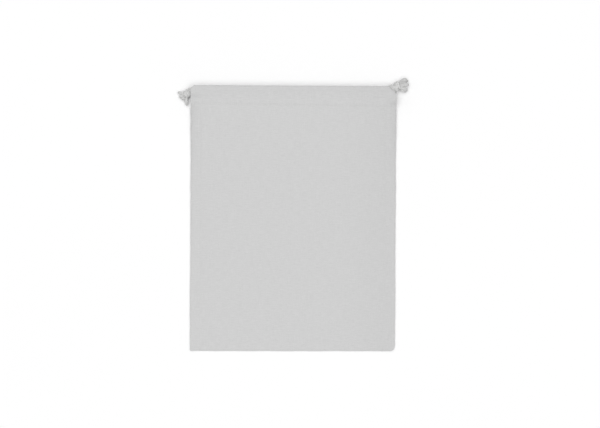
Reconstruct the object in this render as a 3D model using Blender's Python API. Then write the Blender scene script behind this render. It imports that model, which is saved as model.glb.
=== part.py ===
"""Cotton drawstring produce bag, lying flat, its mouth towards +Y and a knotted drawcord end at each side.

Metres, +Z up. The origin is the centre of the face that the bag lies on, X runs across the bag and Y up it.
Each of the two drawcords runs out through the front casing, round the far side and back through the back
casing, so pulling both knots apart closes the mouth.
"""

import math

import bmesh
import bpy
from mathutils import Matrix, Vector

# Driving dimensions.
BAG_WIDTH = 0.305
BAG_HEIGHT = 0.394
CLOTH = 0.0004
CORD_DIAMETER = 0.0045
CASING_DEPTH = 0.027
SEAM_ALLOWANCE = 0.013
MOUTH_GAP = 0.005

# Clearances and small sizes.
CORD_SLACK = 0.00025
TOUCH_GAP = 0.0003
BEND_GAP = 0.0013
SEAM_GAP = 0.0012
HEM_STEP = 0.0017
HEM_END = 0.0285
CORD_ZONE = 0.0172
INNER_HALF_WIDTH = 0.1316
RIM_STEP = 0.0005
LEFT_TOP_CUT = (0.005, 0.006)
RIGHT_TOP_CUT = (0.0125, 0.0125)
LEFT_BOTTOM_RADIUS = 0.002
RIGHT_BOTTOM_RADIUS = 0.007

# How the bag stands off the surface that it lies on. Its crown is round near the bottom and boxy at the hem.
LOFT = 0.0120
LOFT_POWER = 1.2
BOTTOM_CROWN_POWER = 4
HEM_CROWN_POWER = 11
SEAM_LIFT = 0.0045
LIFT_INNER_X = 0.100
LIFT_LENGTH = 0.110

# How finely the cloth is divided: heights above the bottom edge, shares of the half-width, and even steps.
BOTTOM_ROWS = (0.0, 0.0006, 0.002, 0.0045, 0.007, SEAM_ALLOWANCE, SEAM_ALLOWANCE + RIM_STEP)
FIELD_START = 0.030
FIELD_STEPS = 13
CASING_STEPS = 5
FOLD_STEPS = 6
MIDDLE_COLUMNS = (0.0, 0.15, 0.3, 0.45, 0.6, 0.72, 0.80, 0.87)
EDGE_COLUMNS = (0.97, 1.0)
SMOOTH_ANGLE = math.radians(40)

# Threads.
THREAD_RADIUS = 0.00025
OVERLOCK_RADIUS = 0.0005
SEAM_INSET = 0.003
BARTACK_SIZE = (0.003, 0.004, 0.0005)
BARTACK_BELOW_TOP = 0.0295
SEAM_THREAD_START = 0.0075
OVERLOCK_START = 0.0169
SIDE_THREAD_STEPS = 14
HEM_THREAD_STEPS = 26

# Colours and roughness.
CLOTH_LOOK = ((0.63, 0.63, 0.62), 0.95)
CORD_LOOK = ((0.66, 0.66, 0.64), 0.9)
THREAD_LOOK = ((0.68, 0.68, 0.66), 0.8)

# Derived places.
HALF_WIDTH = BAG_WIDTH / 2
TOP = BAG_HEIGHT / 2
BOTTOM = -TOP
HEM_Y = TOP - CASING_DEPTH
TUNNEL = 2 * CLOTH + 2 * CORD_SLACK + CORD_DIAMETER
FOLD_RADIUS = (TUNNEL - CLOTH) / 2
FOLD_Y = TOP - CLOTH / 2 - FOLD_RADIUS
BACK_OUTER_Z = CLOTH / 2
BACK_INNER_Z = BACK_OUTER_Z + 2 * FOLD_RADIUS
FRONT_INNER_Z = BACK_INNER_Z + CLOTH + MOUTH_GAP
FRONT_OUTER_Z = FRONT_INNER_Z + 2 * FOLD_RADIUS
SEAM_Z = 2 * CLOTH + SEAM_GAP / 2
FRONT_RIM_Z = 2 * SEAM_Z - BACK_OUTER_Z
BACK_CORD_Z = TUNNEL / 2
FRONT_CORD_Z = FRONT_OUTER_Z - FOLD_RADIUS

# Where each drawcord runs inside the front and back casings.
LEFT_FRONT_Y, LEFT_BACK_Y = 0.1900, 0.1844
RIGHT_FRONT_Y, RIGHT_BACK_Y = 0.1840, 0.1902
TURN_X = 0.1312
CORD_RADIUS = CORD_DIAMETER / 2
CORD_SIDES = 3

# The knots, and the axes that the knotted ends swing about.
LEFT_KNOT_RADII = (0.0045, 0.0062, 0.0054)
RIGHT_KNOT_RADII = (0.0046, 0.0068, 0.0054)
LEFT_KNOT = Vector((-0.1575, 0.1850, 0.0057))
RIGHT_KNOT = Vector((0.1530, 0.1967, 0.0057))
LEFT_SWING_AXIS = Vector((-0.1491, 0.1904, 0.0057))
RIGHT_SWING_AXIS = Vector((0.1445, 0.1872, 0.0057))
LEFT_KNOT_ANGLE = math.radians(213)
RIGHT_KNOT_ANGLE = math.radians(48)

# Routes outside the casings, from the swing axis to the cord's tip.
LEFT_FRONT_END = (
    (-0.1491, 0.1930, 0.0114),
    (-0.1543, 0.1898, 0.0084),
    (-0.1587, 0.1868, 0.0062),
    (-0.1640, 0.1855, 0.0047),
    (-0.1715, 0.1868, 0.0030),
)
LEFT_BACK_END = (
    (-0.1491, 0.1876, 0.0030),
    (-0.1521, 0.1858, 0.0040),
    (-0.1567, 0.1830, 0.0053),
    (-0.1590, 0.1784, 0.0046),
    (-0.1590, 0.1730, 0.0034),
    (-0.1582, 0.1674, 0.0028),
)
RIGHT_FRONT_END = (
    (0.1463, 0.1854, 0.0114),
    (0.1508, 0.1918, 0.0083),
    (0.1546, 0.1951, 0.0062),
    (0.1604, 0.1969, 0.0050),
    (0.1648, 0.1944, 0.0040),
    (0.1690, 0.1912, 0.0032),
)
RIGHT_BACK_END = (
    (0.1427, 0.1898, 0.0031),
    (0.1482, 0.1944, 0.0046),
    (0.1514, 0.1983, 0.0054),
    (0.1582, 0.2018, 0.0046),
    (0.1640, 0.2045, 0.0040),
    (0.1702, 0.2060, 0.0034),
)
# Bends between the straight run in a casing and the swing axis.
LEFT_FRONT_BEND = ((-0.1375, 0.1900, FRONT_CORD_Z), (-0.1433, 0.1913, 0.0130))
LEFT_BACK_BEND = ((-0.1375, 0.1848, BACK_CORD_Z), (-0.1433, 0.1862, BACK_CORD_Z))
RIGHT_FRONT_BEND = ((0.1370, 0.1840, FRONT_CORD_Z), (0.1420, 0.1843, 0.0130))
RIGHT_BACK_BEND = ((0.1350, 0.1902, BACK_CORD_Z), (0.1390, 0.1900, BACK_CORD_Z))
CASING_STOPS_X = (-0.128, -0.120, -0.080, -0.040, 0.0, 0.040, 0.080, 0.120, 0.128)
TURN_STEPS = 6
SAMPLES_PER_SPAN = 2
TAIL_START = 3


def clear_scene():
    for obj in list(bpy.data.objects):
        bpy.data.objects.remove(obj, do_unlink=True)


def material(name, colour, roughness):
    made = bpy.data.materials.new(name)
    made.use_nodes = True
    shader = made.node_tree.nodes["Principled BSDF"]
    shader.inputs["Base Color"].default_value = (*colour, 1.0)
    shader.inputs["Roughness"].default_value = roughness
    shader.inputs["Metallic"].default_value = 0.0
    return made


def finish(obj, name, look):
    """Names the object, gives it its own material and puts it in the scene."""
    obj.name = name
    obj.data.materials.append(material(name, *look))
    bpy.context.scene.collection.objects.link(obj)
    return obj


def rise(value, low, high):
    """0 at low, 1 at high, level at both ends."""
    share = min(max((value - low) / (high - low), 0.0), 1.0)
    return share * share * (3 - 2 * share)


# The cloth.


def seam_lift(x, y):
    """How far the joined side seam stands off the surface, near the mouth."""
    across = rise(abs(x), LIFT_INNER_X, HALF_WIDTH)
    along = rise(y, HEM_Y - LIFT_LENGTH, HEM_Y) * (1 - rise(y, HEM_Y, TOP - CORD_ZONE))
    return SEAM_LIFT * across * along


def front_height(x, y):
    """Mid-surface of the front cloth below the casing."""
    reach = HEM_Y - BOTTOM - SEAM_ALLOWANCE
    fullness = max((y - BOTTOM - SEAM_ALLOWANCE) / reach, 0.0) ** LOFT_POWER
    power = BOTTOM_CROWN_POWER + (HEM_CROWN_POWER - BOTTOM_CROWN_POWER) * fullness
    crown = max(1 - (abs(x) / HALF_WIDTH) ** power, 0.0)
    return FRONT_RIM_Z + seam_lift(x, y) + LOFT * fullness * crown


def back_outer(x, y):
    return BACK_OUTER_Z + seam_lift(x, y)


def back_inner(x, y):
    low = back_outer(x, y) + HEM_STEP
    return low + (BACK_INNER_Z - low) * rise(y, HEM_Y, TOP - CORD_ZONE)


def front_outer(x, y):
    low = front_height(x, min(y, HEM_Y))
    return low + (FRONT_OUTER_Z - low) * rise(y, HEM_Y, TOP - CORD_ZONE)


def front_inner(x, y):
    low = front_height(x, min(y, HEM_Y)) - HEM_STEP
    return low + (FRONT_INNER_Z - low) * rise(y, HEM_Y, TOP - CORD_ZONE)


def corner_cut(y, top_cut, bottom_radius):
    """How far the side edge stands in from the full width, at a cut top corner and a rounded bottom one."""
    wide, tall = top_cut
    below_top = TOP - y
    if below_top < tall:
        return wide * (1 - below_top / tall)
    above_bottom = y - BOTTOM
    if above_bottom < bottom_radius:
        short = bottom_radius - above_bottom
        return bottom_radius - math.sqrt(bottom_radius**2 - short**2)
    return 0.0


def half_widths(y):
    left = HALF_WIDTH - corner_cut(y, LEFT_TOP_CUT, LEFT_BOTTOM_RADIUS)
    right = HALF_WIDTH - corner_cut(y, RIGHT_TOP_CUT, RIGHT_BOTTOM_RADIUS)
    return left, right


def steps_between(first, last, steps):
    return [first + (last - first) * i / steps for i in range(steps + 1)]


def cloth_rows(outer_z, inner_z, outer_height, inner_height):
    """Rows of the cloth, from its bottom edge over the top fold to its turned-in edge.

    Each row is (y, left half-width, right half-width, height as a function of x and y, whether the seam may
    thicken it).
    """
    rows = []
    casing_level = TOP - CORD_ZONE
    corners = [TOP - RIGHT_TOP_CUT[1], TOP - LEFT_TOP_CUT[1]]
    ys = [BOTTOM + up for up in BOTTOM_ROWS]
    ys += steps_between(BOTTOM + FIELD_START, HEM_Y, FIELD_STEPS)
    ys += steps_between(HEM_Y, casing_level, CASING_STEPS)[1:]
    for y in (*ys, *corners, FOLD_Y):
        rows.append((y, *half_widths(y), outer_height, y <= HEM_Y))
    middle = (outer_z + inner_z) / 2
    for i in range(1, FOLD_STEPS):
        angle = math.pi * i / FOLD_STEPS
        y = FOLD_Y + FOLD_RADIUS * math.sin(angle)
        z = middle + (outer_z - middle) * math.cos(angle)
        narrow = rise(i, FOLD_STEPS / 2, FOLD_STEPS)
        left, right = (w + (INNER_HALF_WIDTH - w) * narrow for w in half_widths(y))
        rows.append((y, left, right, lambda x, y, z=z: z, False))
    ys = [FOLD_Y, *corners[::-1], *steps_between(casing_level, HEM_Y, CASING_STEPS), TOP - HEM_END]
    for y in ys:
        rows.append((y, INNER_HALF_WIDTH, INNER_HALF_WIDTH, inner_height, False))
    return rows


def panel(name, rows, outward):
    """A closed sheet of cloth through the rows, doubled where the seam allowance lies against it."""
    rim = 1 - SEAM_ALLOWANCE / HALF_WIDTH
    half = [*MIDDLE_COLUMNS, rim - RIM_STEP / HALF_WIDTH, rim, *EDGE_COLUMNS]
    across = [-share for share in half[:0:-1]] + half
    grid = []
    for y, left, right, height, _ in rows:
        xs = [share * (left if share < 0 else right) for share in across]
        grid.append([Vector((x, y, height(x, y))) for x in xs])
    outside, inside = [], []
    last_row, last_column = len(rows) - 1, len(across) - 1
    for r, row in enumerate(grid):
        y, seam_row = rows[r][0], rows[r][4]
        for c, point in enumerate(row):
            along = grid[min(r + 1, last_row)][c] - grid[max(r - 1, 0)][c]
            over = row[min(c + 1, last_column)] - row[max(c - 1, 0)]
            normal = outward * over.cross(along).normalized()
            at_side = abs(across[c]) >= rim - 1e-6
            at_bottom = y <= BOTTOM + SEAM_ALLOWANCE + 1e-6
            doubled = seam_row and (at_side or at_bottom)
            outside.append(point + normal * CLOTH / 2)
            inside.append(point - normal * (CLOTH / 2 + (CLOTH if doubled else 0.0)))
    bm = bmesh.new()
    outer = [bm.verts.new(p) for p in outside]
    inner = [bm.verts.new(p) for p in inside]
    wide = len(across)
    for r in range(last_row):
        for c in range(last_column):
            a, b = r * wide + c, r * wide + c + 1
            d, e = a + wide, b + wide
            bm.faces.new((outer[a], outer[b], outer[e], outer[d]))
            bm.faces.new((inner[a], inner[d], inner[e], inner[b]))
    border = list(range(wide))
    border += [r * wide + last_column for r in range(1, last_row + 1)]
    border += [last_row * wide + c for c in range(last_column - 1, -1, -1)]
    border += [r * wide for r in range(last_row - 1, 0, -1)]
    for i, a in enumerate(border):
        b = border[(i + 1) % len(border)]
        bm.faces.new((outer[b], outer[a], inner[a], inner[b]))
    bmesh.ops.recalc_face_normals(bm, faces=bm.faces)
    mesh = bpy.data.meshes.new(name)
    bm.to_mesh(mesh)
    bm.free()
    mesh.shade_smooth()
    mesh.set_sharp_from_angle(angle=SMOOTH_ANGLE)
    return finish(bpy.data.objects.new(name, mesh), name, CLOTH_LOOK)


# Cords and threads.


def smooth_route(points, samples=SAMPLES_PER_SPAN):
    """Points on a centripetal Catmull-Rom curve through the route's own points."""
    route = [Vector(p) for p in points]
    route = [2 * route[0] - route[1], *route, 2 * route[-1] - route[-2]]
    curve = []
    for p0, p1, p2, p3 in zip(route, route[1:], route[2:], route[3:]):
        t1 = (p1 - p0).length ** 0.5
        t2 = t1 + (p2 - p1).length ** 0.5
        t3 = t2 + (p3 - p2).length ** 0.5
        for i in range(samples):
            t = t1 + (t2 - t1) * i / samples
            a1 = p0 * ((t1 - t) / t1) + p1 * (t / t1)
            a2 = p1 * ((t2 - t) / (t2 - t1)) + p2 * ((t - t1) / (t2 - t1))
            a3 = p2 * ((t3 - t) / (t3 - t2)) + p3 * ((t - t2) / (t3 - t2))
            b1 = a1 * ((t2 - t) / t2) + a2 * (t / t2)
            b2 = a2 * ((t3 - t) / (t3 - t1)) + a3 * ((t - t1) / (t3 - t1))
            curve.append(b1 * ((t2 - t) / (t2 - t1)) + b2 * ((t - t1) / (t2 - t1)))
    curve.append(route[-2])
    return curve


def shortened(points, first_gap, last_gap):
    """The points with both ends drawn in, so that a piece stays clear of the next."""
    first = points[0] + (points[1] - points[0]).normalized() * first_gap
    last = points[-1] + (points[-2] - points[-1]).normalized() * last_gap
    return [first, *points[1:-1], last]


def tube(name, points, radius, look, sides=2, parent=None):
    """A round closed tube along the points; a moving one hangs on the empty on its axis."""
    data = bpy.data.curves.new(name, "CURVE")
    data.dimensions = "3D"
    data.bevel_depth = radius
    data.bevel_resolution = sides
    data.use_fill_caps = True
    spline = data.splines.new("POLY")
    spline.points.add(len(points) - 1)
    origin = parent.location if parent else Vector((0, 0, 0))
    for knot, point in zip(spline.points, points):
        knot.co = (*(Vector(point) - origin), 1.0)
    obj = finish(bpy.data.objects.new(name, data), name, look)
    obj.parent = parent
    return obj


def thread(name, points, radius):
    return tube(name, points, radius, THREAD_LOOK)


def cord_piece(name, points, parent, first_gap=TOUCH_GAP, last_gap=TOUCH_GAP):
    clear = shortened(points, first_gap, last_gap)
    return tube(name, clear, CORD_RADIUS, CORD_LOOK, CORD_SIDES, parent)


def turn(front_y, back_y, side):
    """The half circle that a cord makes round the casings' far end, from the front one to the back one."""
    front = Vector((side * TURN_X, front_y, FRONT_CORD_Z))
    back = Vector((side * TURN_X, back_y, BACK_CORD_Z))
    centre, spoke = (front + back) / 2, (front - back) / 2
    bulge = Vector((side * spoke.length, 0, 0))
    angles = (math.pi * i / TURN_STEPS for i in range(TURN_STEPS + 1))
    return [centre + spoke * math.cos(a) + bulge * math.sin(a) for a in angles]


def drawcord(side, front_y, back_y, ends, bends):
    """Builds one drawcord's pieces. side is -1 where it comes out at the left, 1 at the right."""
    name = "left" if side < 0 else "right"
    swing_axis = LEFT_SWING_AXIS if side < 0 else RIGHT_SWING_AXIS
    pull = axis_empty(f"{name}_pull_axis", swing_axis)
    swing = axis_empty(f"{name}_swing_axis", swing_axis)
    front_end, back_end = ends
    front_bend, back_bend = bends
    stops = CASING_STOPS_X if side > 0 else CASING_STOPS_X[::-1]
    route = [*reversed(front_end), *reversed(front_bend)]
    route += [(x, front_y, FRONT_CORD_Z) for x in reversed(stops)]
    route += turn(front_y, back_y, -side)
    route += [(x, back_y, BACK_CORD_Z) for x in stops]
    route += [*back_bend, *back_end]
    curve = smooth_route(route)
    span = SAMPLES_PER_SPAN
    front_exit = (len(front_end) - 1) * span
    back_exit = len(curve) - 1 - (len(back_end) - 1) * span
    cord_piece(f"{name}_drawcord", curve[front_exit : back_exit + 1], pull)
    front_neck = curve[front_exit - span : front_exit + 1]
    back_neck = curve[back_exit : back_exit + span + 1]
    cord_piece(f"{name}_neck_strand_front", front_neck, swing, last_gap=BEND_GAP)
    cord_piece(f"{name}_neck_strand_back", back_neck, swing, first_gap=BEND_GAP)
    front_tail = curve[: front_exit - TAIL_START * span + 1]
    back_tail = curve[back_exit + TAIL_START * span :]
    upper, lower = (front_tail, back_tail) if side < 0 else (back_tail, front_tail)
    cord_piece(f"{name}_tail_upper", upper, swing)
    cord_piece(f"{name}_tail_lower", lower, swing)
    return swing


def axis_empty(name, place):
    empty = bpy.data.objects.new(name, None)
    empty.location = place
    bpy.context.scene.collection.objects.link(empty)
    return empty


def knot(name, centre, radii, angle, swing):
    """The tight body of the overhand knot that joins a cord's two ends."""
    bm = bmesh.new()
    bmesh.ops.create_uvsphere(bm, u_segments=20, v_segments=12, radius=1.0)
    bmesh.ops.scale(bm, vec=radii, verts=bm.verts)
    bmesh.ops.rotate(bm, cent=(0, 0, 0), matrix=Matrix.Rotation(angle, 3, "Z"), verts=bm.verts)
    bmesh.ops.translate(bm, vec=centre - swing.location, verts=bm.verts)
    mesh = bpy.data.meshes.new(name)
    bm.to_mesh(mesh)
    bm.free()
    mesh.shade_smooth()
    obj = finish(bpy.data.objects.new(name, mesh), name, CORD_LOOK)
    obj.parent = swing
    return obj


def bartack(name, side):
    """The dense block of stitches where a side seam ends under the casing."""
    bm = bmesh.new()
    bmesh.ops.create_cube(bm, size=1.0)
    bmesh.ops.scale(bm, vec=BARTACK_SIZE, verts=bm.verts)
    mesh = bpy.data.meshes.new(name)
    bm.to_mesh(mesh)
    bm.free()
    obj = finish(bpy.data.objects.new(name, mesh), name, THREAD_LOOK)
    x, y = side * (HALF_WIDTH - SEAM_INSET), TOP - BARTACK_BELOW_TOP
    obj.location = (x, y, SEAM_Z + seam_lift(x, y))
    bevel = obj.modifiers.new("rounded", "BEVEL")
    bevel.width = BARTACK_SIZE[2] / 4
    bevel.segments = 2
    return obj


def side_thread(name, x, low, high, radius):
    ys = steps_between(low, high, SIDE_THREAD_STEPS)
    return thread(name, [(x, y, SEAM_Z + seam_lift(x, y)) for y in ys], radius)


def bottom_thread(name, reach, inset, radius):
    y = BOTTOM + inset
    return thread(name, [(-reach, y, SEAM_Z), (0, y, SEAM_Z), (reach, y, SEAM_Z)], radius)


def seams():
    seam_x = HALF_WIDTH - SEAM_INSET
    overlock_inset = SEAM_ALLOWANCE + RIM_STEP + OVERLOCK_RADIUS + 2 * TOUCH_GAP
    overlock_x = HALF_WIDTH - overlock_inset
    seam_top = TOP - BARTACK_BELOW_TOP - BARTACK_SIZE[1]
    for name, side in (("left", -1), ("right", 1)):
        low = BOTTOM + SEAM_THREAD_START
        side_thread(f"{name}_side_seam_thread", side * seam_x, low, seam_top, THREAD_RADIUS)
        low = BOTTOM + OVERLOCK_START
        side_thread(f"{name}_overlock_thread", side * overlock_x, low, seam_top, OVERLOCK_RADIUS)
        bartack(f"{name}_bartack", side)
    bottom_thread("bottom_seam_thread", seam_x - 2 * SEAM_INSET, SEAM_INSET, THREAD_RADIUS)
    bottom_thread("bottom_overlock_thread", overlock_x - SEAM_INSET, overlock_inset, OVERLOCK_RADIUS)


def casing_stitching():
    """Each casing's row of stitches, seen as one thread between the cloth and its turned-in edge."""
    reach = INNER_HALF_WIDTH - SEAM_INSET
    xs = steps_between(-reach, reach, HEM_THREAD_STEPS)
    front = [(x, HEM_Y, front_outer(x, HEM_Y) - HEM_STEP / 2) for x in xs]
    back = [(x, HEM_Y, back_outer(x, HEM_Y) + HEM_STEP / 2) for x in xs]
    thread("front_casing_stitching", front, THREAD_RADIUS)
    thread("back_casing_stitching", back, THREAD_RADIUS)


def main():
    clear_scene()
    panel("front_panel", cloth_rows(FRONT_OUTER_Z, FRONT_INNER_Z, front_outer, front_inner), 1)
    panel("back_panel", cloth_rows(BACK_OUTER_Z, BACK_INNER_Z, back_outer, back_inner), -1)
    seams()
    casing_stitching()
    ends, bends = (LEFT_FRONT_END, LEFT_BACK_END), (LEFT_FRONT_BEND, LEFT_BACK_BEND)
    left = drawcord(-1, LEFT_FRONT_Y, LEFT_BACK_Y, ends, bends)
    ends, bends = (RIGHT_FRONT_END, RIGHT_BACK_END), (RIGHT_FRONT_BEND, RIGHT_BACK_BEND)
    right = drawcord(1, RIGHT_FRONT_Y, RIGHT_BACK_Y, ends, bends)
    knot("left_knot", LEFT_KNOT, LEFT_KNOT_RADII, LEFT_KNOT_ANGLE, left)
    knot("right_knot", RIGHT_KNOT, RIGHT_KNOT_RADII, RIGHT_KNOT_ANGLE, right)


main()
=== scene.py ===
"""Cotton drawstring produce bag lying flat: its cloth, stitches, cords and knots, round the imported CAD.

Metres, +Z up, in the CAD's own frame: X runs across the bag and +Y towards its mouth.
"""

import math

import bpy
import numpy as np
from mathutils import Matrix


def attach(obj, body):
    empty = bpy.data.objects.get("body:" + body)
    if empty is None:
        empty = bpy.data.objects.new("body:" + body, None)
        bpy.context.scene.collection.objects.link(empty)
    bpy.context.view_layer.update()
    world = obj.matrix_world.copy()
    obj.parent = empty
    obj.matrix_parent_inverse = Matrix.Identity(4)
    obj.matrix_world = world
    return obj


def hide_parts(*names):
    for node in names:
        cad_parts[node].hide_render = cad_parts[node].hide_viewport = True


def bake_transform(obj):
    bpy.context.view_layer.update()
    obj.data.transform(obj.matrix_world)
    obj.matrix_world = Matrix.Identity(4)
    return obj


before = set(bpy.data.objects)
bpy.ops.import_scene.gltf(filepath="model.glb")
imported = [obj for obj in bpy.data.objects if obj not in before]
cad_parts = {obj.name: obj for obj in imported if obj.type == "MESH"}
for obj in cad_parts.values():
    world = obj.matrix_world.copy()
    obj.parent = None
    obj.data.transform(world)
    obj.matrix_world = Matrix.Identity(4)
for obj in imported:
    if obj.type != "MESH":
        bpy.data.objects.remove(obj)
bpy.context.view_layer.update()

# Sizes that the CAD holds too.
HALF_WIDTH, TOP, BOTTOM = 0.1525, 0.1970, -0.1970
CLOTH = 0.0004
CORD_RADIUS = 0.00225
HEM_Y = TOP - 0.027
CASING_LEVEL_Y = TOP - 0.0172
HEM_END_Y = TOP - 0.0285
ALLOWANCE = 0.013
FOLD_RADIUS = 0.0027
FOLD_Y = TOP - CLOTH / 2 - FOLD_RADIUS
BACK_OUTER_Z, BACK_INNER_Z, FRONT_INNER_Z, FRONT_OUTER_Z = 0.0002, 0.0056, 0.0110, 0.0164
SEAM_Z, FRONT_RIM_Z = 0.0014, 0.0026
BACK_CORD_Z, FRONT_CORD_Z = 0.0029, 0.0137
INNER_HALF_WIDTH = 0.1316
LEFT_TOP_CUT, RIGHT_TOP_CUT = (0.005, 0.006), (0.0125, 0.0125)
RIGHT_BACK_CUT = (0.0125, 0.0070)
LEFT_BOTTOM_RADIUS, RIGHT_BOTTOM_RADIUS = 0.002, 0.007
SEAM_INSET = 0.003
OVERLOCK_INSET = 0.0147

# The drawcords' routes, from the front strand's tip round the far end of the casing to the back strand's tip.
CORDS = {
    "left": {
        "side": -1,
        "exit": (-0.1491, 0.1904, 0.0057),
        "runs": (0.1900, 0.1844),
        "front_end": (
            (-0.1491, 0.1930, 0.0114),
            (-0.1543, 0.1898, 0.0084),
            (-0.1587, 0.1868, 0.0062),
            (-0.1640, 0.1855, 0.0047),
            (-0.1715, 0.1868, 0.0030),
        ),
        "back_end": (
            (-0.1491, 0.1876, 0.0030),
            (-0.1521, 0.1858, 0.0040),
            (-0.1567, 0.1830, 0.0053),
            (-0.1590, 0.1784, 0.0046),
            (-0.1590, 0.1730, 0.0034),
            (-0.1582, 0.1674, 0.0028),
        ),
        "front_bend": ((-0.1375, 0.1900, FRONT_CORD_Z), (-0.1433, 0.1913, 0.0130)),
        "back_bend": ((-0.1375, 0.1848, BACK_CORD_Z), (-0.1433, 0.1862, BACK_CORD_Z)),
        "knot_angle": 213,
        "bend": ((-0.1473, 0.1909, 0.0), (-0.1527, 0.1889, 0.0)),
    },
    "right": {
        "side": 1,
        "exit": (0.1445, 0.1872, 0.0057),
        "runs": (0.1840, 0.1902),
        "front_end": (
            (0.1463, 0.1854, 0.0114),
            (0.1508, 0.1918, 0.0083),
            (0.1546, 0.1951, 0.0062),
            (0.1604, 0.1969, 0.0050),
            (0.1648, 0.1944, 0.0040),
            (0.1690, 0.1912, 0.0032),
        ),
        "back_end": (
            (0.1427, 0.1898, 0.0031),
            (0.1482, 0.1944, 0.0046),
            (0.1514, 0.1983, 0.0054),
            (0.1582, 0.2018, 0.0046),
            (0.1640, 0.2045, 0.0040),
            (0.1702, 0.2060, 0.0034),
        ),
        "front_bend": ((0.1370, 0.1840, FRONT_CORD_Z), (0.1420, 0.1843, 0.0130)),
        "back_bend": ((0.1350, 0.1902, BACK_CORD_Z), (0.1390, 0.1900, BACK_CORD_Z)),
        "knot_angle": 48,
        "bend": ((0.1433, 0.1860, 0.0), (0.1470, 0.1897, 0.0)),
    },
}
CASING_STOPS_X = (-0.128, -0.120, -0.080, -0.040, 0.0, 0.040, 0.080, 0.120, 0.128)
TURN_X = 0.1312


# Camera and light.


def add_camera():
    """Straight down on the bag, from far enough that it shows almost no perspective."""
    data = bpy.data.cameras.new("camera")
    data.lens, data.sensor_width = 85.0, 36.0
    view_width = 0.894
    camera = bpy.data.objects.new("camera", data)
    camera.location = (0.0104, 0.0070, view_width * data.lens / data.sensor_width)
    camera.rotation_euler = (0, 0, math.radians(0.28))
    data.clip_end = 50
    bpy.context.scene.collection.objects.link(camera)
    bpy.context.scene.camera = camera


def add_light():
    world = bpy.data.worlds.new("studio")
    world.use_nodes = True
    background = world.node_tree.nodes["Background"]
    background.inputs["Color"].default_value = (1, 1, 1, 1)
    background.inputs["Strength"].default_value = 0.41
    bpy.context.scene.world = world
    data = bpy.data.lights.new("key", "SUN")
    data.energy = 1.97
    data.angle = math.radians(75)
    key = bpy.data.objects.new("key", data)
    key.rotation_euler = (math.radians(-1), math.radians(1), 0)
    bpy.context.scene.collection.objects.link(key)
    settings = bpy.context.scene.view_settings
    settings.view_transform = "Standard"
    settings.look = "None"


# Numbers.


def rise(value, low, high):
    """0 at low, 1 at high, level at both ends."""
    share = np.clip((value - low) / (high - low), 0.0, 1.0)
    return share * share * (3 - 2 * share)


def ridge(value, centre, width):
    return np.exp(-(((value - centre) / width) ** 2))


def waves(x, y, seed, shortest, longest, count=12, spread=math.pi):
    """A sum of plane waves of those wavelengths, about -1 to 1, running within spread of the X axis."""
    random = np.random.default_rng(seed)
    total = np.zeros(np.broadcast(x, y).shape)
    for _ in range(count):
        angle = random.uniform(-spread, spread)
        length = shortest * (longest / shortest) ** random.uniform()
        phase = random.uniform(0, math.tau)
        total += np.sin(math.tau * (x * math.cos(angle) + y * math.sin(angle)) / length + phase)
    return total / math.sqrt(count)


def resampled(points, spacing):
    points = np.asarray(points, float)
    along = np.concatenate([[0], np.cumsum(np.linalg.norm(np.diff(points, axis=0), axis=1))])
    count = max(int(round(along[-1] / spacing)), 2)
    stops = np.linspace(0, along[-1], count + 1)
    return np.stack([np.interp(stops, along, points[:, i]) for i in range(3)], axis=1)


def smooth_route(points, spacing):
    """Evenly spaced points on a centripetal Catmull-Rom curve through the route's points."""
    route = np.array(points, float)
    route = np.vstack([2 * route[0] - route[1], route, 2 * route[-1] - route[-2]])
    curve = []
    for p0, p1, p2, p3 in zip(route, route[1:], route[2:], route[3:]):
        t1 = np.linalg.norm(p1 - p0) ** 0.5
        t2 = t1 + np.linalg.norm(p2 - p1) ** 0.5
        t3 = t2 + np.linalg.norm(p3 - p2) ** 0.5
        t = np.linspace(t1, t2, 24, endpoint=False)[:, None]
        a1 = p0 * ((t1 - t) / t1) + p1 * (t / t1)
        a2 = p1 * ((t2 - t) / (t2 - t1)) + p2 * ((t - t1) / (t2 - t1))
        a3 = p2 * ((t3 - t) / (t3 - t2)) + p3 * ((t - t2) / (t3 - t2))
        b1 = a1 * ((t2 - t) / t2) + a2 * (t / t2)
        b2 = a2 * ((t3 - t) / (t3 - t1)) + a3 * ((t - t1) / (t3 - t1))
        curve.append(b1 * ((t2 - t) / (t2 - t1)) + b2 * ((t - t1) / (t2 - t1)))
    return resampled(np.vstack([*curve, route[-2:-1]]), spacing)


# Materials.


def node(tree, kind, inputs=(), **settings):
    """Adds a node. inputs are (socket name or number, a value or another node's output)."""
    made = tree.nodes.new(kind)
    for name, value in settings.items():
        setattr(made, name, value)
    for socket, value in inputs:
        if isinstance(value, bpy.types.NodeSocket):
            tree.links.new(value, made.inputs[socket])
        else:
            made.inputs[socket].default_value = value
    return made


def calc(tree, operation, a, b=0.0, c=0.0):
    return node(tree, "ShaderNodeMath", ((0, a), (1, b), (2, c)), operation=operation).outputs[0]


def noise(tree, vector, scale, size=1.0, detail=2.0):
    """Noise of about 0 to 1. scale is how many cells a metre holds along each axis of the vector."""
    moved = node(tree, "ShaderNodeVectorMath", ((0, vector), (1, scale)), operation="MULTIPLY")
    inputs = (("Vector", moved.outputs[0]), ("Scale", size), ("Detail", detail))
    return node(tree, "ShaderNodeTexNoise", inputs).outputs["Fac"]


def eased(tree, value, low, high, most):
    """0 where the value is under low and most where it is over high."""
    inputs = ((0, value), (1, low), (2, high), (3, 0.0), (4, most))
    return node(tree, "ShaderNodeMapRange", inputs, interpolation_type="SMOOTHSTEP").outputs[0]


def new_material(name, roughness, sheen):
    made = bpy.data.materials.new(name)
    made.use_nodes = True
    tree = made.node_tree
    shader = tree.nodes["Principled BSDF"]
    shader.inputs["Roughness"].default_value = roughness
    shader.inputs["Sheen Weight"].default_value = sheen
    shader.inputs["Sheen Roughness"].default_value = 0.6
    shader.inputs["Specular IOR Level"].default_value = 0.25
    return made, tree, shader


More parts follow.
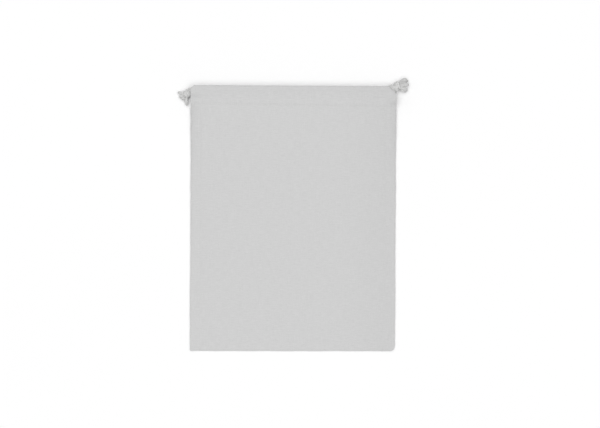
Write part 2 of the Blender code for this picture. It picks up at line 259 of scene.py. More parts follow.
def tinted(tree, shader, colour, factor):
    """The colour times the factor, into the shader's base colour."""
    scaled = node(tree, "ShaderNodeVectorMath", ((0, colour), ("Scale", factor)), operation="SCALE")
    tree.links.new(scaled.outputs[0], shader.inputs["Base Color"])


def bumped(tree, shader, height, distance, strength):
    inputs = (("Height", height), ("Distance", distance), ("Strength", strength))
    made = node(tree, "ShaderNodeBump", inputs)
    tree.links.new(made.outputs[0], shader.inputs["Normal"])


def cloth_material():
    """Plain-woven natural cotton: threads 0.5 mm apart, with thicker slubs mostly along the weft, and painted
    shade towards the right-hand edge and over the top fold.
    """
    made, tree, shader = new_material("cotton_cloth", 0.92, 0.10)
    flat = node(tree, "ShaderNodeAttribute", attribute_name="cloth").outputs["Vector"]
    wander = noise(tree, flat, (90, 90, 1), 1.0, 1.0)
    parts = node(tree, "ShaderNodeSeparateXYZ", ((0, flat),))
    pitch = 0.0005
    waves_of = []
    for axis in (0, 1):
        shifted = calc(tree, "MULTIPLY_ADD", wander, 0.0006, parts.outputs[axis])
        waves_of.append(calc(tree, "SINE", calc(tree, "MULTIPLY", shifted, math.pi / pitch)))
    crossing = calc(tree, "ABSOLUTE", calc(tree, "MULTIPLY", *waves_of))
    weave = calc(tree, "POWER", crossing, 0.5)
    weft = noise(tree, flat, (95, 800, 1), 1.0, 2.0)
    weft_fine = noise(tree, flat, (260, 2000, 1), 1.0, 1.0)
    warp = noise(tree, flat, (700, 80, 1), 1.0, 2.0)
    mottle = noise(tree, flat, (38, 38, 1), 1.0, 3.0)
    tone = calc(tree, "MULTIPLY_ADD", calc(tree, "SUBTRACT", weft, 0.5), 0.15, 1.0)
    tone = calc(tree, "MULTIPLY_ADD", calc(tree, "SUBTRACT", weft_fine, 0.5), 0.13, tone)
    tone = calc(tree, "MULTIPLY_ADD", calc(tree, "SUBTRACT", warp, 0.5), 0.08, tone)
    tone = calc(tree, "MULTIPLY_ADD", calc(tree, "SUBTRACT", mottle, 0.5), 0.012, tone)
    # Painted shade: the cloth is made up to 3% darker from the middle out to its right-hand edge, standing for
    # shade that falls on that side.
    painted_right_shade = eased(tree, parts.outputs[0], 0.05, 0.155, 0.030)
    # Painted shade: from just above the hem up over the casing, round the top fold and along the turned-in
    # layer, the cloth is made about 2% darker, standing for shade at the fold.
    painted_fold_shade = eased(tree, parts.outputs[1], 0.370, 0.390, 0.022)
    tone = calc(tree, "SUBTRACT", calc(tree, "SUBTRACT", tone, painted_right_shade), painted_fold_shade)
    depth = calc(tree, "MULTIPLY_ADD", weave, 0.20, 0.88)
    tinted(tree, shader, (0.628, 0.628, 0.628), calc(tree, "MULTIPLY", tone, depth))
    rough = calc(tree, "MULTIPLY_ADD", weft, 0.10, 0.86)
    tree.links.new(rough, shader.inputs["Roughness"])
    height = calc(tree, "ADD", weave, calc(tree, "MULTIPLY", weft, 0.9))
    bumped(tree, shader, height, 0.00016, 0.55)
    return made


def cord_material(name, colour, along_scale, fibre_scale):
    """Soft twisted cotton: fibres along each ply, and painted shade: darker by the fibre mark's third value,
    which is deepest in the grooves between plies.
    """
    made, tree, shader = new_material(name, 0.95, 0.20)
    fibre = node(tree, "ShaderNodeAttribute", attribute_name="fibre").outputs["Vector"]
    strands = noise(tree, fibre, (fibre_scale, along_scale, 3.0), 1.0, 3.0)
    clumps = noise(tree, fibre, (1.5, 320, 2.0), 1.0, 2.0)
    groove_shade = node(tree, "ShaderNodeSeparateXYZ", ((0, fibre),)).outputs[2]
    tone = calc(tree, "MULTIPLY_ADD", calc(tree, "SUBTRACT", strands, 0.5), 0.18, 1.0)
    tone = calc(tree, "MULTIPLY_ADD", calc(tree, "SUBTRACT", clumps, 0.5), 0.08, tone)
    # Painted shade: up to 14% darker by the fibre mark's third value, deepest in the grooves between plies, in
    # the knot core's hollows and on the tufts given a shade.
    tone = calc(tree, "MULTIPLY_ADD", calc(tree, "POWER", groove_shade, 3.0), -0.14, tone)
    tinted(tree, shader, colour, tone)
    bumped(tree, shader, strands, 0.0002, 0.45)
    return made


def floor_material():
    made, tree, shader = new_material("floor", 0.9, 0.0)
    place = node(tree, "ShaderNodeTexCoord").outputs["Object"]
    tone = calc(tree, "MULTIPLY_ADD", noise(tree, place, (3, 3, 3)), 0.01, 0.99)
    tinted(tree, shader, (0.97, 0.97, 0.97), tone)
    return made


# Meshes.


def mesh_object(name, verts, faces, material, slot, **attributes):
    mesh = bpy.data.meshes.new(name)
    mesh.from_pydata(np.asarray(verts).tolist(), [], faces)
    mesh.shade_smooth()
    for key, values in attributes.items():
        layer = mesh.attributes.new(key, "FLOAT_VECTOR", "POINT")
        layer.data.foreach_set("vector", np.asarray(values, np.float32).ravel())
    mesh.materials.append(material)
    obj = bpy.data.objects.new(name, mesh)
    bpy.context.scene.collection.objects.link(obj)
    return obj


def joined(parts):
    """Several (verts, faces, fibre) as one."""
    verts, faces, fibre, start = [], [], [], 0
    for part_verts, part_faces, part_fibre in parts:
        verts.append(part_verts)
        fibre.append(part_fibre)
        faces += [tuple(start + i for i in face) for face in part_faces]
        start += len(part_verts)
    return np.vstack(verts), faces, np.vstack(fibre)


def carried_frames(path):
    """Two unit vectors across the path at each point, carried along it without twisting."""
    tangents = np.gradient(path, axis=0)
    tangents /= np.linalg.norm(tangents, axis=1)[:, None]
    up = np.array([0.0, 0.0, 1.0])
    if abs(tangents[0] @ up) > 0.9:
        up = np.array([0.0, 1.0, 0.0])
    firsts = []
    for tangent in tangents:
        up = up - (up @ tangent) * tangent
        up /= np.linalg.norm(up)
        firsts.append(up)
    firsts = np.array(firsts)
    return firsts, np.cross(tangents, firsts)


def swept(path, radii, angles, fibre, scale, turn):
    """A closed tube along the path. radii and angles are the profile's, scale and turn are per ring."""
    first, second = carried_frames(path)
    spin = angles[None, :] + turn[:, None]
    reach = radii[None, :] * scale[:, None]
    rings = path[:, None, :] + first[:, None, :] * (reach * np.cos(spin))[..., None]
    rings += second[:, None, :] * (reach * np.sin(spin))[..., None]
    sides, count = len(angles), len(path)
    along = np.concatenate([[0], np.cumsum(np.linalg.norm(np.diff(path, axis=0), axis=1))])
    # Each vertex's fibre mark: its place round the profile, the length along the path, and the value by which
    # the cord material paints shade.
    marks = np.zeros((count, sides, 3))
    marks[..., 0], marks[..., 2] = fibre[:, 0], fibre[:, 1]
    marks[..., 1] = along[:, None]
    faces = []
    for r in range(count - 1):
        for k in range(sides):
            a, b = r * sides + k, r * sides + (k + 1) % sides
            faces.append((a, b, b + sides, a + sides))
    faces.append(tuple(range(sides - 1, -1, -1)))
    faces.append(tuple((count - 1) * sides + k for k in range(sides)))
    return rings.reshape(-1, 3), faces, marks.reshape(-1, 3)


PLIES = 3
PLY_SIDES = 8
TWIST_PITCH = 0.0150


def ply_profile(radius):
    """The outline of three soft plies pressed together: radii, angles and each point's place on its ply."""
    lobe, offset = radius * 0.66, radius * 0.34
    sides = PLIES * PLY_SIDES
    angles = np.arange(sides) * math.tau / sides
    across = (angles + math.pi / PLIES) % (math.tau / PLIES) - math.pi / PLIES
    radii = offset * np.cos(across) + np.sqrt(lobe**2 - (offset * np.sin(across)) ** 2)
    place = across / (math.pi / PLIES)
    ply = np.floor((angles + math.pi / PLIES) / (math.tau / PLIES)) % PLIES
    # The second column is how near each point lies to the groove between two plies; the cord material paints
    # shade there by it.
    return radii, angles, np.stack([place + 2 * ply, np.abs(place)], axis=1)


def twisted_cord(path, radius, ends=(0.75, 0.75), pitch=TWIST_PITCH, phase=0.0):
    """A three-ply twisted cord along the path, drawn in a little at both ends."""
    radii, angles, place = ply_profile(radius)
    along = np.concatenate([[0], np.cumsum(np.linalg.norm(np.diff(path, axis=0), axis=1))])
    reach = 4 * radius
    scale = ends[0] + (1 - ends[0]) * rise(along, 0, reach)
    scale *= ends[1] + (1 - ends[1]) * rise(along[-1] - along, 0, reach)
    return swept(path, radii, angles, place, scale, phase + math.tau * along / pitch)


def yarn(path, radius, sides=6, tip=0.45, shade=0.0):
    """A single yarn along the path, round and thinner at its tip."""
    angles = np.arange(sides) * math.tau / sides
    # shade is painted shade: the cord material darkens the yarn by it.
    place = np.stack([np.arange(sides) / sides, np.full(sides, shade)], axis=1)
    share = np.linspace(0, 1, len(path))
    scale = 1 - (1 - tip) * rise(share, 0.7, 1.0)
    return swept(path, np.full(sides, radius), angles, place, scale, np.zeros(len(path)))


def turn_points(front_y, back_y, side):
    """The half circle that a cord makes round the casings' far end, from the front one to the back one."""
    front = np.array([side * TURN_X, front_y, FRONT_CORD_Z])
    back = np.array([side * TURN_X, back_y, BACK_CORD_Z])
    centre, spoke = (front + back) / 2, (front - back) / 2
    bulge = np.array([side * np.linalg.norm(spoke), 0, 0])
    return [centre + spoke * math.cos(a) + bulge * math.sin(a) for a in np.linspace(0, math.pi, 7)]


def cord_path(facts):
    side, (front_y, back_y) = facts["side"], facts["runs"]
    stops = CASING_STOPS_X if side > 0 else CASING_STOPS_X[::-1]
    front_run = [(x, front_y, FRONT_CORD_Z) for x in stops]
    back_run = [(x, back_y, BACK_CORD_Z) for x in stops]
    points = [*facts["front_end"][::-1], *facts["front_bend"][::-1], *front_run[::-1]]
    points += turn_points(front_y, back_y, -side)
    points += [*back_run, *facts["back_bend"], *facts["back_end"]]
    return smooth_route(points, 0.0012)


def build_cord(name, facts, material):
    path = cord_path(facts)
    verts, faces, fibre = twisted_cord(path, CORD_RADIUS)
    obj = mesh_object(f"{name}_cord", verts, faces, material, "cotton_cord", fibre=fibre)
    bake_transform(obj)
    parts = ("drawcord", "neck_strand_front", "neck_strand_back", "tail_upper", "tail_lower")
    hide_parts(*(f"{name}_{part}" for part in parts))
    return obj, path


# Each turn of a knot is (its middle, the direction that it faces, half its length and half its height).
KNOT_TURNS = {
    "left": (
        ((-0.1540, 0.1873, 0.0074), 196, 0.0047, 0.0043),
        ((-0.1574, 0.1856, 0.0070), 205, 0.0046, 0.0040),
        ((-0.1604, 0.1834, 0.0062), 222, 0.0038, 0.0034),
    ),
    "right": (
        ((0.1468, 0.1914, 0.0075), 43, 0.0070, 0.0044),
        ((0.1496, 0.1944, 0.0074), 38, 0.0057, 0.0043),
        ((0.1527, 0.1971, 0.0070), 22, 0.0050, 0.0040),
        ((0.1556, 0.1992, 0.0066), 14, 0.0046, 0.0036),
    ),
}


def knot_core(centre, along, across, sides=20, rings=9):
    """The strands pressed together inside the turns, as one soft body."""
    ups = np.linspace(-1, 1, rings)
    path = centre + np.outer(ups * 0.0066, along)
    angles = np.arange(sides) * math.tau / sides
    scale = np.sqrt(np.clip(1 - (0.97 * ups) ** 2, 0, 1))
    lobes = 1 + 0.10 * np.cos(3 * angles)
    # The second column paints shade into the three hollows between the core's lobes.
    place = np.stack([3 * angles / math.pi, 0.35 - 0.35 * np.cos(3 * angles)], axis=1)
    return swept(path, across * lobes, angles, place, scale, ups * 2.2)


def build_knot(name, facts, material):
    """The turns of the overhand knot, lying slantwise side by side round the two strands."""
    angle = math.radians(facts["knot_angle"])
    along = np.array([math.cos(angle), math.sin(angle), 0])
    middles = [np.array(turn[0]) for turn in KNOT_TURNS[name]]
    parts = [knot_core(sum(middles) / len(middles), along, 0.0047)]
    for number, (centre, faces_to, half, tall) in enumerate(KNOT_TURNS[name]):
        facing = math.radians(faces_to)
        forward = np.array([math.cos(facing), math.sin(facing), 0])
        across = np.array([-math.sin(facing), math.cos(facing), 0])
        turns = np.linspace(0, 1, 54)
        spin = math.tau * (turns * 1.12 + 0.22 * (-1) ** number)
        tuck = 1 - 0.30 * (1 - rise(turns, 0, 0.10) * rise(1 - turns, 0, 0.10))
        path = np.array(centre) + np.outer(0.0022 * (turns - 0.5), forward)
        path += np.outer(half * tuck * np.cos(spin), across)
        path[:, 2] += tall * tuck * np.sin(spin)
        parts.append(twisted_cord(path, 0.0020, ends=(0.7, 0.7), pitch=0.0130, phase=1.3 * number))
    verts, faces, fibre = joined(parts)
    verts[:, 2] = np.maximum(verts[:, 2], 0.0002)
    obj = mesh_object(f"{name}_knot_turns", verts, faces, material, "cotton_cord", fibre=fibre)
    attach(obj, f"{name}_knotted_end")
    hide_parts(f"{name}_knot")
    return obj


# Each frayed tuft is (route, half its widest spread, how many yarns, their radius, how deep the painted shade
# on it is).
TUFTS = {
    "left": (
        (
            ((-0.1615, 0.1858, 0.0052), (-0.1665, 0.1858, 0.0042), (-0.1728, 0.1876, 0.0034)),
            0.0022, 18, 0.0007, 0.5,
        ),
        (
            ((-0.1615, 0.1840, 0.0052), (-0.1660, 0.1815, 0.0044), (-0.1705, 0.1790, 0.0034)),
            0.0020, 16, 0.0007, 0.0,
        ),
        (
            ((-0.1605, 0.1820, 0.0050), (-0.1635, 0.1785, 0.0044), (-0.1664, 0.1752, 0.0034)),
            0.0024, 18, 0.0007, 0.4,
        ),
        (
            ((-0.1592, 0.1800, 0.0046), (-0.1593, 0.1735, 0.0036), (-0.1586, 0.1670, 0.0030)),
            0.0024, 24, 0.0007, 0.2,
        ),
    ),
    "right": (
        (
            (
                (0.1568, 0.2006, 0.0058), (0.1608, 0.2036, 0.0058),
                (0.1652, 0.2052, 0.0056), (0.1700, 0.2050, 0.0050),
            ),
            0.0043, 52, 0.0008, 0.80,
        ),
        (
            ((0.1575, 0.1988, 0.0064), (0.1650, 0.1996, 0.0070), (0.1723, 0.1994, 0.0056)),
            0.0028, 26, 0.0008, 0.0,
        ),
        (
            (
                (0.1568, 0.1966, 0.0054), (0.1616, 0.1942, 0.0052),
                (0.1657, 0.1924, 0.0048), (0.1696, 0.1918, 0.0044),
            ),
            0.0041, 46, 0.0008, 0.35,
        ),
    ),
}


def build_tufts(name, material):
    """The frayed tips: yarns that leave the knot together, spread into a tuft and end at different lengths."""
    made = []
    for number, (route, spread, count, radius, shade) in enumerate(TUFTS[name]):
        random = np.random.default_rng(40 + number + 10 * (name == "right"))
        parts = []
        middle = smooth_route(route, 0.0006)
        first, second = carried_frames(middle)
        share = np.linspace(0, 1, len(middle))
        full = spread * (0.30 + 0.70 * rise(share, 0.0, 0.60)) * (1 - 0.30 * rise(share, 0.72, 1.0))
        angles = np.arange(12) * math.tau / 12
        # The tuft's shade value is painted shade: the cord material darkens its core and yarns by it.
        place = np.stack([np.arange(12) / 4, np.full(12, shade)], axis=1)
        core = slice(0, int(0.84 * len(middle)))
        bulk = full[core] * 0.80 * (1 - 0.75 * rise(share[core], 0.68, 0.84))
        parts.append(swept(middle[core], np.ones(12), angles, place, bulk, share[core] * 0))
        for i in range(count):
            spin = math.tau * (i * 0.618 + random.uniform(0, 0.1))
            far = math.sqrt((i + 0.5) / count)
            swell = full * far
            curl = spin + random.uniform(0.3, 1.1) * share
            path = middle + first * (swell * np.cos(curl))[:, None]
            path += second * (swell * np.sin(curl))[:, None]
            stop = 1 - 0.14 * far**2 - random.uniform(0, 0.07)
            path = path[: max(int(len(middle) * stop), 6)]
            path[:, 2] = np.maximum(path[:, 2], radius + 0.0002)
            parts.append(yarn(path, radius * random.uniform(0.85, 1.15), shade=shade))
        verts, faces, fibre = joined(parts)
        obj = mesh_object(f"{name}_tuft_{number}", verts, faces, material, "cotton_cord", fibre=fibre)
        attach(obj, f"{name}_knotted_end")
        made.append(obj)
    return made


# Cloth.


def half_widths(y, right_cut=RIGHT_TOP_CUT):
    """The left and right half-widths, with the cut top corners and the rounded bottom ones."""
    found = []
    for cut, radius in ((LEFT_TOP_CUT, LEFT_BOTTOM_RADIUS), (right_cut, RIGHT_BOTTOM_RADIUS)):
        wide, tall = cut
        top = wide * np.clip(1 - (TOP - y) / tall, 0, 1)
        short = np.clip(radius - (y - BOTTOM), 0, radius)
        found.append(HALF_WIDTH - top - (radius - np.sqrt(radius**2 - short**2)))
    return found


def settled(x, y):
    """Where cut-straight cloth really lies: the hem runs a little off square, and the edges waver."""
    near_hem = rise(y, HEM_Y - 0.100, HEM_Y) * (1 - rise(y, HEM_Y + 0.005, FOLD_Y - 0.002))
    moved = y - 0.0016 * (1 + x / HALF_WIDTH) * near_hem
    low = 1 - rise(y, BOTTOM, 0.0)
    moved = moved + low * (0.0006 * x / HALF_WIDTH + 0.00018 * waves(x, y * 0, 12, 0.03, 0.09))
    at_side = rise(np.abs(x), 0.120, HALF_WIDTH) * np.sign(x) * (1 - rise(y, HEM_Y, CASING_LEVEL_Y))
    return x + 0.00025 * at_side * waves(x * 0, y, 13, 0.025, 0.080), moved


def seam_lift(x, y):
    across = rise(np.abs(x), 0.100, HALF_WIDTH)
    along = rise(y, HEM_Y - 0.110, HEM_Y) * (1 - rise(y, HEM_Y, CASING_LEVEL_Y))
    edge = 1 - rise(HALF_WIDTH - np.abs(x), 0.0, 0.012)
    return 0.0030 * across * along + 0.0008 * edge * (1 - along) * (1 - rise(y, HEM_Y - 0.004, HEM_Y + 0.004))


def front_height(x, y):
    """The front cloth's middle below the casing: fullest just under it, and flat at the seams."""
    fullness = np.clip((y - BOTTOM - ALLOWANCE) / (HEM_Y - BOTTOM - ALLOWANCE), 0, 1) ** 1.2
    crown = np.clip(1 - (np.abs(x) / HALF_WIDTH) ** (4 + 7 * fullness), 0, 1)
    return FRONT_RIM_Z + seam_lift(x, y) + 0.0135 * fullness * crown


def edge_distances(x, y):
    """How far a point is inside the nearer side edge and the bottom edge."""
    left, right = half_widths(y)
    return np.where(x < 0, left, right) - np.abs(x), y - BOTTOM


def casing_share(x, y):
    return rise(y, HEM_Y - 0.006 * rise(np.abs(x), 0.115, 0.145), CASING_LEVEL_Y)


CASING_END_DROP = 0.0055
CASING_END_X = 0.118


def casing_drop(x, y):
    """How far the casing's ends fall below its full height, under the cord that comes out there."""
    lifted = rise(y, np.where(x < 0, 0.1745, 0.1700), np.where(x < 0, 0.1873, 0.1815))
    outwards = rise(np.abs(x), CASING_END_X, HALF_WIDTH)
    return CASING_END_DROP * outwards * (1 - lifted) * casing_share(x, y)


def front_outer_z(x, y):
    low = front_height(x, np.minimum(y, HEM_Y))
    z = low + (FRONT_OUTER_Z - low) * casing_share(x, y)
    from_side, from_bottom = edge_distances(x, y)
    below = 1 - rise(y, HEM_Y - 0.004, HEM_Y)
    inner = rise(np.minimum(from_side, from_bottom), 0.014, 0.050)
    z += 0.00025 * inner * below * waves(x, y, 3, 0.060, 0.150)
    z += 0.00003 * inner * waves(x, y, 4, 0.012, 0.030, 16)
    # The allowances' raw edges show through as a shallow step, and the seam draws the cloth in at the rim.
    step = 0.00050 * (0.7 + 0.3 * waves(x * 0, y, 5, 0.020, 0.070))
    z -= below * step * (ridge(from_side, 0.0140, 0.0016) + ridge(from_bottom, 0.0140, 0.0016))
    rim = 1 - rise(np.minimum(from_side, from_bottom), 0.0, 0.0026)
    z -= 0.00078 * rim * below
    # The hem's stitches pull a line in, and the casing puffs above it.
    pull = 0.8 + 0.2 * waves(x, y * 0, 6, 0.006, 0.014)
    z -= 0.00055 * pull * ridge(y, HEM_Y, 0.0011)
    z += 0.00040 * pull * ridge(y, HEM_Y + 0.0045, 0.0026)
    z -= casing_drop(x, y)
    # Small gathers along the drawn casing, which close up as it is pulled.
    near = rise(y, HEM_Y - 0.045, HEM_Y) * (1 - rise(y, FOLD_Y - 0.004, FOLD_Y))
    z += 0.00016 * near * waves(x, y, 7, 0.008, 0.020, 14, 0.25)
    # The cords inside the casing show as two faint rolls.
    rolls = np.clip(ridge(y, 0.1900, 0.0029) + ridge(y, 0.1840, 0.0029), 0, 1)
    over_cords = rise(y, HEM_Y + 0.006, CASING_LEVEL_Y) * (1 - rise(y, FOLD_Y - 0.003, FOLD_Y))
    z -= 0.00035 * (1 - rolls) * over_cords
    z -= 0.00060 * ridge(y, 0.1812, 0.0010) * rise(x, 0.105, 0.125) * (1 - rise(x, 0.134, 0.141))
    return z


def front_inner_z(x, y):
    low = front_height(x, np.minimum(y, HEM_Y)) - 0.0008
    z = low + (FRONT_INNER_Z - low) * casing_share(x, y)
    return z - 0.00060 * ridge(y, HEM_Y, 0.0011)


def back_outer_z(x, y):
    """The cloth that the bag lies on: flat, drawn up a little along its seams."""
    from_side, from_bottom = edge_distances(x, y)
    below = 1 - rise(y, HEM_Y - 0.004, HEM_Y)
    z = BACK_OUTER_Z + seam_lift(x, y)
    nearest = np.minimum(from_side, from_bottom)
    z += 0.00022 * below * (ridge(from_side, 0.0136, 0.0011) + ridge(from_bottom, 0.0136, 0.0011))
    z += 0.00040 * (1 - rise(nearest, 0.0, 0.0026)) * below
    z += 0.00045 * ridge(y, HEM_Y, 0.0011)
    return z + 0.00010 * rise(nearest, 0.014, 0.040) * (1 + waves(x, y, 8, 0.015, 0.060)).clip(0, 2)


def back_inner_z(x, y):
    low = BACK_OUTER_Z + seam_lift(x, y) + 0.0010
    z = low + (BACK_INNER_Z - low) * casing_share(x, y)
    return z + 0.00045 * ridge(y, HEM_Y, 0.0011)


# Distances in from an edge, close together at the rim and at the allowance's step.
RIM_STOPS = np.array(
    [0, 0.0003, 0.0008, 0.0015, 0.0024, 0.0036, 0.0055, 0.0085, 0.0110, 0.0124, 0.0132, 0.0140, 0.0150, 0.0170]
)


def cloth_stops():
    """Places along the cloth from its bottom edge up over the top fold: (y, share of the way round it)."""
    field = np.linspace(BOTTOM + 0.020, HEM_Y - 0.006, 150)
    hem = np.arange(HEM_Y - 0.0045, HEM_Y + 0.0090, 0.00075)
    casing = np.linspace(hem[-1] + 0.001, FOLD_Y, 16)
    outer = [(y, 0.0) for y in (*(BOTTOM + RIM_STOPS), *field, *hem, *casing)]
    fold = [(FOLD_Y, i / 12) for i in range(1, 12)]
    turned_in = (*np.linspace(FOLD_Y, CASING_LEVEL_Y, 8), *np.linspace(CASING_LEVEL_Y - 0.001, HEM_END_Y, 13))
    inner = [(y, 1.0) for y in turned_in]
    return outer + fold + inner


def cloth_columns():
    """Shares of the half-width from -1 to 1, close together at the rims."""
    rim = HALF_WIDTH - RIM_STOPS
    half = np.concatenate([np.linspace(0, HALF_WIDTH - 0.019, 64), rim[::-1]]) / HALF_WIDTH
    return np.concatenate([-half[:0:-1], half]), len(half) - 1


def cloth_grid(front):
    """The middle surface of one panel: x, y, z, the length along the cloth, and its extra thickness inwards."""
    outer_z, inner_z = (front_outer_z, front_inner_z) if front else (back_outer_z, back_inner_z)
    edge_out, edge_in = (FRONT_OUTER_Z, FRONT_INNER_Z) if front else (BACK_OUTER_Z, BACK_INNER_Z)
    columns, _ = cloth_columns()
    xs, ys, zs, lengths, extra = [], [], [], [], []
    length, last_y = 0.0, BOTTOM
    for y, fold in cloth_stops():
        turned = math.pi * fold
        at_y = y + FOLD_RADIUS * math.sin(turned) if 0 < fold < 1 else y
        right_cut = RIGHT_BACK_CUT if not front and fold <= 0 else RIGHT_TOP_CUT
        left, right = (float(w) for w in half_widths(np.array(at_y), right_cut))
        narrow = float(rise(np.array(fold), 0.5, 1.0))
        left, right = (w + (INNER_HALF_WIDTH - w) * narrow for w in (left, right))
        x = np.where(columns < 0, columns * left, columns * right)
        if fold <= 0:
            z = outer_z(x, np.full_like(x, y))
        elif fold >= 1:
            z = inner_z(x, np.full_like(x, y))
        else:
            z = np.full_like(x, (edge_out + edge_in) / 2 + (edge_out - edge_in) / 2 * math.cos(turned))
        length += FOLD_RADIUS * math.pi / 12 if 0 < fold < 1 else abs(y - last_y)
        last_y = y
        from_side, from_bottom = edge_distances(x, np.full_like(x, y))
        doubled = (1 - rise(np.minimum(from_side, from_bottom), 0.0128, 0.0136)) if fold <= 0 else x * 0
        doubled = doubled * (1 - rise(y, HEM_Y - 0.001, HEM_Y + 0.001))
        if fold > 0:
            doubled = doubled + 0.8 * (1 - rise(y, HEM_END_Y + 0.005, HEM_END_Y + 0.006)) * (fold >= 1)
        at_x, at_y = settled(x, np.full_like(x, at_y))
        xs.append(at_x), ys.append(at_y), zs.append(z)
        lengths.append(np.full_like(x, length)), extra.append(doubled)
    return [np.array(a) for a in (xs, ys, zs, lengths, extra)]


def build_panel(name, front, material):
    """Both halves of one panel, cut at the middle so that each can follow its own drawcord."""
    x, y, z, length, extra = cloth_grid(front)
    middle = np.stack([x, y, z], axis=2)
    across, along = np.gradient(middle, axis=1), np.gradient(middle, axis=0)
    normal = np.cross(across, along)
    normal /= np.linalg.norm(normal, axis=2)[..., None]
    if not front:
        normal = -normal
    outside = middle + normal * (CLOTH / 2)
    inside = middle - normal * (CLOTH / 2 + CLOTH * extra)[..., None]
    if not front:
        outside[..., 2] = np.maximum(outside[..., 2], 0.0)
    flat = np.stack([x, length, x * 0], axis=2)
    _, centre = cloth_columns()
    halves = {"left": slice(0, centre + 1), "right": slice(centre, None)}
    made = []
    for half, part in halves.items():
        out, into, nor, uv = outside[:, part], inside[:, part], normal[:, part], flat[:, part]
        rows, cols = out.shape[:2]
        index = np.arange(rows * cols).reshape(rows, cols)
        a, b, c, d = index[:-1, :-1], index[:-1, 1:], index[1:, 1:], index[1:, :-1]
        quads = np.stack([a, b, c, d], axis=2).reshape(-1, 4)
        if not front:
            quads = quads[:, ::-1]
        back = quads[:, ::-1] + rows * cols
        border = np.concatenate([index[0, :-1], index[:-1, -1], index[-1, :0:-1], index[:0:-1, 0]])
        ahead = np.roll(border, -1)
        wall = np.stack([ahead, border, border + rows * cols, ahead + rows * cols], axis=1)
        if not front:
            wall = wall[:, ::-1]
        faces = np.vstack([quads, back, wall])
        verts = np.vstack([out.reshape(-1, 3), into.reshape(-1, 3)])
        normals = np.vstack([nor.reshape(-1, 3), -nor.reshape(-1, 3)])
        flats = np.vstack([uv.reshape(-1, 3)] * 2)
        piece = f"{name}_cloth_{half}"
        obj = mesh_object(piece, verts, faces.tolist(), material, "cotton_cloth", cloth=flats)
        sides = np.cross(verts[wall[:, 1]] - verts[wall[:, 0]], verts[wall[:, 3]] - verts[wall[:, 0]])
        sides /= np.maximum(np.linalg.norm(sides, axis=1), 1e-12)[:, None]
        smooth = normals[faces[: 2 * len(quads)].ravel()]
        loops = np.vstack([smooth, np.repeat(sides, 4, axis=0)])
        obj.data.normals_split_custom_set(loops.tolist())
        gather(obj)
        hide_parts(f"{name}_panel")
        made.append(obj)
    return made


def gather(obj):
    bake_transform(obj)


# Threads.


def stitch_row(places, ups, length, radius, sink):
    """Separate stitches at these places: each comes up out of the cloth, lies along X and goes back down."""
    parts = []
    for place, up in zip(places, ups):
        share = np.linspace(-0.5, 0.5, 7)
        path = place + np.outer(share * length, (1, 0, 0))
        path[:, 2] += up * (radius * 0.9 - sink * (2 * np.abs(share)) ** 4)
        scale = 1 - 0.35 * (2 * np.abs(share)) ** 3
        sides = 6
        angles = np.arange(sides) * math.tau / sides
        mark = np.stack([np.arange(sides) / sides, np.zeros(sides)], axis=1)
        parts.append(swept(path, np.full(sides, radius), angles, mark, scale, np.zeros(len(path))))
    return joined(parts)


def build_hem_stitches(name, front, material):
    reach, pitch = INNER_HALF_WIDTH + 0.006, 0.0030
    count = int(reach / pitch)
    height = front_outer_z if front else back_outer_z
    for half, side in (("left", -1), ("right", 1)):
        xs = side * (np.arange(count) + 0.5) * pitch
        ys = HEM_Y + 0.00010 * waves(xs, xs * 0, 9, 0.02, 0.05)
        zs = height(xs, ys)
        up = 1 if front else -1
        zs = zs + up * CLOTH / 2
        if not front:
            zs = np.maximum(zs, 0.00022)
        places = np.stack([*settled(xs, ys), zs], axis=1)
        verts, faces, fibre = stitch_row(places, np.full(count, up), 0.0024, 0.00022, 0.00045)
        if not front:
            verts[:, 2] = np.maximum(verts[:, 2], 0.0)
        obj = mesh_object(f"{name}_hem_stitches_{half}", verts, faces, material, "sewing_thread", fibre=fibre)
        gather(obj)
        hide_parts(f"{name}_casing_stitching")


def coil(line, radius, pitch, thread_radius):
    """A thread whipped round a line, as an overlocked raw edge has."""
    along = np.concatenate([[0], np.cumsum(np.linalg.norm(np.diff(line, axis=0), axis=1))])
    first, second = carried_frames(line)
    spin = math.tau * along / pitch
    path = line + first * (radius * np.cos(spin))[:, None] + second * (radius * np.sin(spin))[:, None]
    return yarn(path, thread_radius, sides=5, tip=0.8)


def seam_line(x, low, high, spacing):
    ys = np.arange(low, high, spacing)
    xs = np.full_like(ys, x)
    return np.stack([*settled(xs, ys), SEAM_Z + seam_lift(xs, ys)], axis=1)


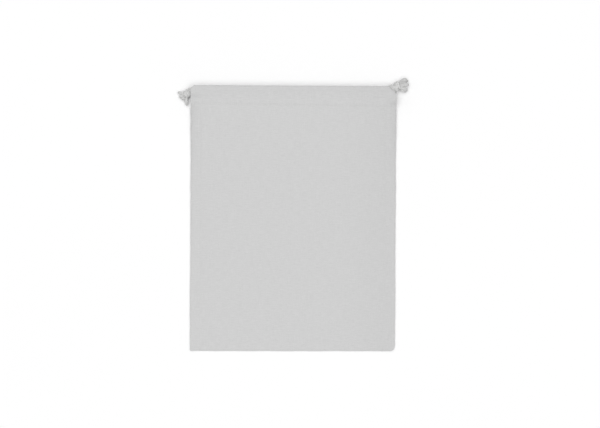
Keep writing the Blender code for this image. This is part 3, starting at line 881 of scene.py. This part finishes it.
def build_seams(material):
    for name, side in (("left", -1), ("right", 1)):
        top = TOP - 0.0295 - 0.0040
        line = seam_line(side * (HALF_WIDTH - SEAM_INSET), BOTTOM + 0.0075, top, 0.0003)
        verts, faces, fibre = coil(line, 0.00012, 0.0025, 0.00022)
        obj = mesh_object(f"{name}_seam_stitches", verts, faces, material, "sewing_thread", fibre=fibre)
        gather(obj)
        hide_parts(f"{name}_side_seam_thread")
        line = seam_line(side * (HALF_WIDTH - OVERLOCK_INSET), BOTTOM + 0.0169, top, 0.0003)
        verts, faces, fibre = coil(line, 0.00034, 0.0024, 0.00018)
        obj = mesh_object(f"{name}_overlock", verts, faces, material, "sewing_thread", fibre=fibre)
        gather(obj)
        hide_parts(f"{name}_overlock_thread")
        verts, faces, fibre = bartack(side)
        obj = mesh_object(f"{name}_bartack_stitches", verts, faces, material, "sewing_thread", fibre=fibre)
        gather(obj)
        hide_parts(f"{name}_bartack")
    for name, inset, whip, radius, node_name in (
        ("bottom_seam_stitches", 0.0030, 0.00012, 0.00022, "bottom_seam_thread"),
        ("bottom_overlock", 0.0147, 0.00034, 0.00018, "bottom_overlock_thread"),
    ):
        reach = HALF_WIDTH - 3 * SEAM_INSET if inset < 0.01 else HALF_WIDTH - OVERLOCK_INSET - SEAM_INSET
        xs = np.arange(-reach, reach, 0.0003)
        line = np.stack([xs, np.full_like(xs, BOTTOM + inset), np.full_like(xs, SEAM_Z)], axis=1)
        verts, faces, fibre = coil(line, whip, 0.0025, radius)
        obj = mesh_object(name, verts, faces, material, "sewing_thread", fibre=fibre)
        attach(obj, "bag")
        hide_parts(node_name)


def bartack(side):
    """Close zigzag stitches where a side seam ends under the casing."""
    x, y = side * (HALF_WIDTH - SEAM_INSET), TOP - 0.0295
    z = SEAM_Z + float(seam_lift(np.array(x), np.array(y)))
    steps = 22
    corners = []
    for i in range(steps):
        corners.append((x + 0.0014 * (-1) ** i, y - 0.0019 + 0.0038 * i / (steps - 1), z))
    return yarn(resampled(corners, 0.0003), 0.00020, sides=5, tip=0.8)


def add_floor():
    side = 6.0
    verts = [(-side, -side, -0.0002), (side, -side, -0.0002), (side, side, -0.0002), (-side, side, -0.0002)]
    mesh = bpy.data.meshes.new("floor")
    mesh.from_pydata(verts, [], [(0, 1, 2, 3)])
    mesh.materials.append(floor_material())
    floor = bpy.data.objects.new("floor", mesh)
    bpy.context.scene.collection.objects.link(floor)


def main():
    add_camera()
    cord_look = cord_material("cotton_cord", (0.670, 0.670, 0.665), 500, 2.5)
    # A copy of the cord material for the frayed tufts: finer-grained fibres, and its own tone set against the
    # shade that their loose yarns cast on each other, which is painted light.
    frayed_shade_offset_look = cord_material("frayed_cotton_shade_offset", (0.640, 0.640, 0.635), 500, 1.5)
    for name, facts in CORDS.items():
        cord, path = build_cord(name, facts, cord_look)
        knot = build_knot(name, facts, cord_look)
        tufts = build_tufts(name, frayed_shade_offset_look)
    cloth_look = cloth_material()
    thread_look = cord_material("sewing_thread", (0.68, 0.68, 0.67), 1500, 3.0)
    build_hem_stitches("front", True, thread_look)
    build_hem_stitches("back", False, thread_look)
    build_seams(thread_look)
    back = build_panel("back", False, cloth_look)
    front = build_panel("front", True, cloth_look)
    add_floor()
    add_light()


main()
